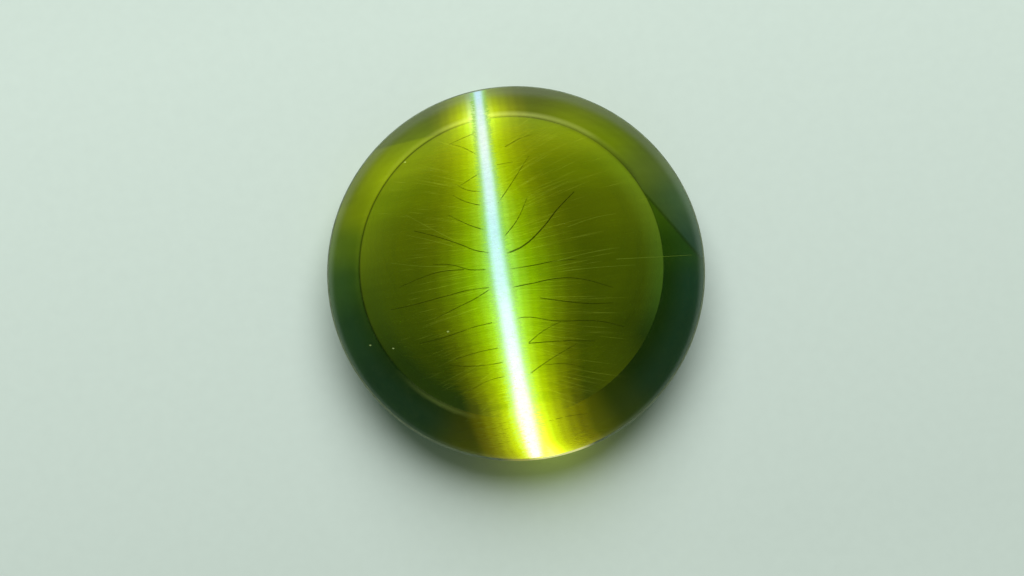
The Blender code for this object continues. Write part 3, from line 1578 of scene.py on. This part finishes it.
@dataclass
class PaleSpecks:
    """Small pale specks just under the polish, as one joined mesh."""

    view: CameraView
    places: Places = ((-3.49, 3.48), (-4.57, -2.30), (-3.84, -2.39), (-2.12, -1.85))
    radius: float = 0.026
    drawn_out: tuple[float, float, float] = (1.5, 1.0, 0.6)
    depth: float = 0.10
    finish: PaleFinish = PaleFinish("pale_specks", 1.3, (0.16, 0.19, 0.09))

    def grain(self) -> bpy.types.Object:
        """One grain at the origin, drawn out along the silk.

        Returns:
            The grain's object.
        """
        deselect_all()
        bpy.ops.mesh.primitive_ico_sphere_add(subdivisions=2, radius=self.radius * MM)
        bpy.ops.transform.resize(value=self.drawn_out)
        bpy.ops.object.transform_apply(location=False, rotation=False, scale=True)
        return bpy.context.object

    def copy(self, grain: bpy.types.Object) -> bpy.types.Object:
        """Another grain with its own mesh.

        Args:
            grain: The grain that is copied.

        Returns:
            The copy.
        """
        copied = grain.copy()
        copied.data = grain.data.copy()
        bpy.context.scene.collection.objects.link(copied)
        return copied

    def build(self) -> bpy.types.Object:
        """Set a grain at each place and join them.

        Returns:
            The finished piece.
        """
        first = self.grain()
        specks = [first] + [self.copy(first) for _ in self.places[1:]]
        for speck, (right, up) in zip(specks, self.places):
            speck.location = self.view.under_dome(right * MM, up * MM, self.depth * MM)
        piece = join_smooth(specks, "pale_specks")
        dress(piece, self.finish)
        return piece


@dataclass(frozen=True)
class Sun:
    """A lamp far off, by the way to it from the stone and how wide it looks from there, in degrees."""

    name: str
    direction: tuple[float, float, float]
    strength: float
    angle: float
    tint: Colour = WHITE
    reflected: bool = False

    def build(self) -> None:
        """Hang the lamp, which the polished dome shows only where it is marked as reflected."""
        lamp = bpy.data.lights.new(self.name, "SUN")
        lamp.energy = self.strength
        lamp.color = self.tint
        lamp.angle = math.radians(self.angle)
        holder = bpy.data.objects.new(self.name, lamp)
        bpy.context.scene.collection.objects.link(holder)
        holder.rotation_mode = "QUATERNION"
        holder.rotation_quaternion = Vector(self.direction).to_track_quat("Z", "Y")
        holder.visible_glossy = self.reflected
        holder.visible_transmission = False


@dataclass
class Studio:
    """Plain pale floor, soft lamps, dim sky and the camera."""

    view: CameraView
    suns: tuple[Sun, ...] = (
        Sun("key", (0.094, 0.580, 0.809), 3.03, 56.0),
        Sun("fill", (0.0, 0.0, 1.0), 0.48, 150.0, (0.77, 1.0, 0.66)),
        Sun("spark", (-0.1032, -0.7424, 0.6620), 0.03, 2.4, reflected=True),
    )

    # The floor, with a painted falloff of light: a little darker on the near side
    floor_size: float = 4.0
    floor_tint: Colour = (0.631, 0.725, 0.683)
    floor_near_shade: float = 0.93
    floor_far_light: float = 1.12
    floor_change: float = 9.0 * MM
    floor_grain: Colour = (2600.0, 2600.0, 2600.0)
    floor_contrast: float = 0.05
    floor_roughness: float = 0.7
    floor_gloss: float = 0.1

    # The sky: shares of the horizon's colour by height, then the dark above
    horizon: Colour = (0.50, 0.60, 0.52)
    low_sky: Course = ((-1.0, 1.0), (-0.40, 1.0), (-0.24, 0.10), (-0.15, 0.045))
    high_sky: Stops = ((0.25, (0.012, 0.014, 0.012)), (0.6, (0.004, 0.005, 0.004)))

    # The framing: the picture's size and the stone's middle in it, in pixels
    target: tuple[float, float, float] = (0.0, 0.0, 1.79 * MM)
    camera_distance: float = 0.16
    picture_size: tuple[int, int] = (1024, 576)
    stone_middle: tuple[float, float] = (516.1, 272.6)
    pixels_per_mm: float = 31.5
    sensor_width: float = 36.0

    def floor(self) -> None:
        """A wide pale floor."""
        deselect_all()
        bpy.ops.mesh.primitive_plane_add(size=self.floor_size, location=(0.0, 0.0, 0.0))
        floor = bpy.context.object
        floor.name = "studio_floor"
        material = bpy.data.materials.new("pale_floor")
        material.use_nodes = True
        graph = NodeGraph(material.node_tree)
        vector, _, y = graph.place()
        edge = self.floor_change
        near = times(self.floor_tint, self.floor_near_shade)
        far = times(self.floor_tint, self.floor_far_light)
        # The floor's colour with a painted falloff of light along Y, then its grain
        floor_colour_and_falloff = graph.ramp(y, ((-edge, near), (edge, far)), -edge, edge, "LINEAR")
        floor_colour_and_falloff = graph.scale(floor_colour_and_falloff, graph.grain(vector, self.floor_grain, 3.0, self.floor_contrast))
        shader = material.node_tree.nodes["Principled BSDF"]
        graph.link(floor_colour_and_falloff, shader.inputs["Base Color"])
        shader.inputs["Roughness"].default_value = self.floor_roughness
        shader.inputs["Specular IOR Level"].default_value = self.floor_gloss
        floor.data.materials.append(material)
        floor.visible_glossy = False

    def sky(self) -> None:
        """A sky that matches the floor at the horizon and is dark overhead."""
        world = bpy.data.worlds.new("studio_sky")
        bpy.context.scene.world = world
        world.use_nodes = True
        graph = NodeGraph(world.node_tree)
        coordinates = world.node_tree.nodes.new("ShaderNodeTexCoord")
        split = world.node_tree.nodes.new("ShaderNodeSeparateXYZ")
        graph.link(coordinates.outputs["Generated"], split.inputs[0])
        low = tuple((height, times(self.horizon, share)) for height, share in self.low_sky)
        colour = graph.ramp(split.outputs["Z"], low + self.high_sky, -1.0, 1.0)
        background = world.node_tree.nodes["Background"]
        graph.link(colour, background.inputs["Color"])
        background.inputs["Strength"].default_value = 1.0

    def camera(self) -> None:
        """The camera, at the photograph's angle and framing."""
        width, height = self.picture_size
        pixel = MM / self.pixels_per_mm
        shift_right = (width / 2 - self.stone_middle[0]) * pixel
        shift_up = (self.stone_middle[1] - height / 2) * pixel
        data = bpy.data.cameras.new("camera")
        data.sensor_width = self.sensor_width
        data.lens = data.sensor_width * self.camera_distance / (width * pixel)
        data.clip_start = 0.01
        data.clip_end = 10.0
        holder = bpy.data.objects.new("camera", data)
        bpy.context.scene.collection.objects.link(holder)
        holder.rotation_mode = "QUATERNION"
        back = self.view.back()
        aim = (-back).to_track_quat("-Z", "Y")
        holder.rotation_quaternion = aim
        framing = aim @ Vector((shift_right, shift_up, 0.0))
        holder.location = Vector(self.target) + back * self.camera_distance + framing
        bpy.context.scene.camera = holder

    def build(self) -> None:
        """Set up the floor, the sky, the lamps and the camera."""
        self.floor()
        self.sky()
        for sun in self.suns:
            sun.build()
        self.camera()
        bpy.context.scene.view_settings.view_transform = "Standard"


RIGHT_THREADS = (
    ThreadPath(((-0.61, 2.09), (-0.22, 2.66), (0.39, 3.63)), 0.014),
    ThreadPath(((-0.39, 1.08), (0.04, 1.65), (0.35, 2.35)), 0.015),
    ThreadPath(((-0.31, 0.58), (0.21, 0.82), (0.82, 1.39), (1.26, 1.95), (1.80, 2.52)), 0.026),
    ThreadPath(((-0.26, 0.09), (0.56, 0.23), (1.17, 0.35), (1.87, 0.42)), 0.015),
    ThreadPath(((-0.13, -0.46), (0.56, -0.32), (1.26, -0.18), (1.96, -0.19), (3.00, -0.46)), 0.016),
    ThreadPath(((0.74, -0.79), (1.52, -0.89), (2.30, -0.96), (3.00, -0.94)), 0.014),
    ThreadPath(((-0.12, -1.45), (0.30, -1.38), (1.17, -1.49), (2.57, -1.51), (3.35, -1.68)), 0.014),
    ThreadPath(((0.39, -2.19), (1.43, -2.12), (2.43, -2.12)), 0.014),
    ThreadPath(((0.39, -2.17), (0.82, -1.82), (1.39, -1.51)), 0.012),
    ThreadPath(((0.21, -3.31), (0.74, -2.91), (1.30, -2.54), (1.87, -2.21)), 0.015),
    ThreadPath(((-0.35, 3.93), (0.13, 4.20), (0.48, 4.33)), 0.011),
    ThreadPath(((-0.60, 3.36), (-0.10, 3.45)), 0.010),
    ThreadPath(((0.91, -4.67), (1.61, -4.49), (2.22, -4.41)), 0.010),
    ThreadPath(((0.82, -2.87), (1.52, -2.83), (2.13, -2.96)), 0.009),
)
LEFT_THREADS = (
    ThreadPath(((-1.09, 4.46), (-1.61, 4.24), (-2.09, 4.02)), 0.012),
    ThreadPath(((-1.27, 3.71), (-1.70, 3.93), (-2.01, 4.02)), 0.010),
    ThreadPath(((-1.13, 3.10), (-1.53, 2.84), (-1.74, 2.70)), 0.012),
    ThreadPath(((-1.05, 2.51), (-1.53, 2.57), (-1.88, 2.75)), 0.012),
    ThreadPath(((-0.96, 2.05), (-1.61, 2.22), (-1.96, 2.40)), 0.013),
    ThreadPath(((-0.92, 1.30), (-1.44, 1.47), (-2.09, 1.78)), 0.016),
    ThreadPath(((-0.83, 0.61), (-1.27, 0.69), (-1.70, 0.86), (-2.48, 1.12), (-3.18, 1.30)), 0.017),
    ThreadPath(((-0.92, 0.09), (-1.44, 0.09), (-1.96, 0.23), (-2.57, 0.26)), 0.014),
    ThreadPath(((-1.61, 0.09), (-2.31, 0.03), (-3.01, -0.19), (-3.62, -0.46)), 0.011),
    ThreadPath(((-0.83, -0.46), (-1.44, -0.54), (-2.14, -0.72), (-3.09, -0.98), (-3.88, -1.16)), 0.014),
    ThreadPath(((-0.83, -0.53), (-1.27, -0.81), (-1.79, -1.07), (-2.48, -1.42)), 0.014),
    ThreadPath(((-0.74, -1.55), (-1.27, -1.68), (-1.79, -1.86), (-2.31, -2.04), (-3.01, -2.21)), 0.012),
    ThreadPath(((-0.57, -2.34), (-1.18, -2.47), (-1.88, -2.69)), 0.011),
    ThreadPath(((-0.39, -2.78), (-0.92, -2.87), (-1.61, -2.91), (-2.09, -2.87)), 0.012),
    ThreadPath(((-0.35, -3.22), (-0.83, -3.35), (-1.35, -3.62)), 0.011),
)
PALE_THREADS = (
    ThreadPath(((3.10, 0.42), (4.39, 0.49), (5.50, 0.56)), 0.008),
    ThreadPath(((1.27, 0.37), (2.20, 0.60), (3.20, 0.78)), 0.007),
    ThreadPath(((1.50, 0.05), (2.50, 0.16), (3.70, 0.24)), 0.007),
    ThreadPath(((1.60, 1.42), (2.40, 1.70), (3.10, 1.84)), 0.007),
    ThreadPath(((-1.95, 1.02), (-2.70, 1.40), (-3.42, 1.80)), 0.007),
    ThreadPath(((-1.95, 0.82), (-2.65, 1.00), (-3.38, 1.16)), 0.007),
    ThreadPath(((-2.15, 0.18), (-3.00, 0.20), (-3.90, 0.30)), 0.007),
    ThreadPath(((-1.20, -1.10), (-2.10, -1.42), (-2.90, -1.72)), 0.007),
)


def silk_beds(form: StoneForm, eye: EyeLine) -> tuple[SilkBed, ...]:
    """The beds of silk, from the deep ones to the eye line.

    Args:
        form: The stone's sizes.
        eye: The eye line.

    Returns:
        The beds.
    """
    body = SilkBed(
        form,
        eye,
        SilkLayer.BODY,
        count=14000,
        spread=1.35 * MM,
        depths=(0.12 * MM, 0.9 * MM),
        half_lengths=(0.2 * MM, 0.6 * MM),
        radii=(0.003 * MM, 0.006 * MM),
        tilt=0.02,
        seed=7,
        finish=SilkFinish("body_silk", 0.2),
        reach=4.45 * MM,
        fan_share=0.12,
    )
    foot = SilkBed(
        form,
        eye,
        SilkLayer.FOOT,
        count=14000,
        spread=0.60 * MM,
        depths=(0.14 * MM, 0.34 * MM),
        half_lengths=(0.06 * MM, 0.25 * MM),
        radii=(0.004 * MM, 0.009 * MM),
        tilt=0.04,
        seed=31,
        finish=SilkFinish("foot_silk", 0.1, strength=1.05),
        reach=5.93 * MM,
        fan_share=0.1,
    )
    pale = SilkBed(
        form,
        eye,
        SilkLayer.PALE,
        count=280,
        spread=1.2 * MM,
        depths=(0.14 * MM, 0.5 * MM),
        half_lengths=(0.6 * MM, 1.7 * MM),
        radii=(0.004 * MM, 0.008 * MM),
        tilt=0.03,
        seed=23,
        finish=PaleFinish("pale_fibres"),
        reach=4.7 * MM,
        fan_share=1.0,
    )
    core = SilkBed(
        form,
        eye,
        SilkLayer.CORE,
        count=28000,
        spread=1.0,
        depths=(0.05 * MM, 0.13 * MM),
        half_lengths=(0.05 * MM, 0.12 * MM),
        radii=(0.004 * MM, 0.009 * MM),
        tilt=0.07,
        seed=11,
        finish=EyeFinish(),
    )
    return body, foot, pale, core


def main() -> None:
    """Build the pieces in order and report each one."""
    bpy.context.preferences.edit.use_global_undo = False
    form = StoneForm()
    view = CameraView(form)
    dark = ThreadFinish("growth_thread")
    light = PaleFinish("pale_thread", veil=(0.030, 0.045, 0.010))
    makers = (
        PolishedStone(form),
        *silk_beds(form, EyeLine()),
        GrowthThreads("growth_threads", view, RIGHT_THREADS + LEFT_THREADS, dark),
        GrowthThreads("pale_threads", view, PALE_THREADS, light),
        PaleSpecks(view),
    )
    for maker in makers:
        piece = maker.build()
        log.info("%s: %d faces", piece.name, len(piece.data.polygons))
    Studio(view).build()


if __name__ == "__main__":
    main()
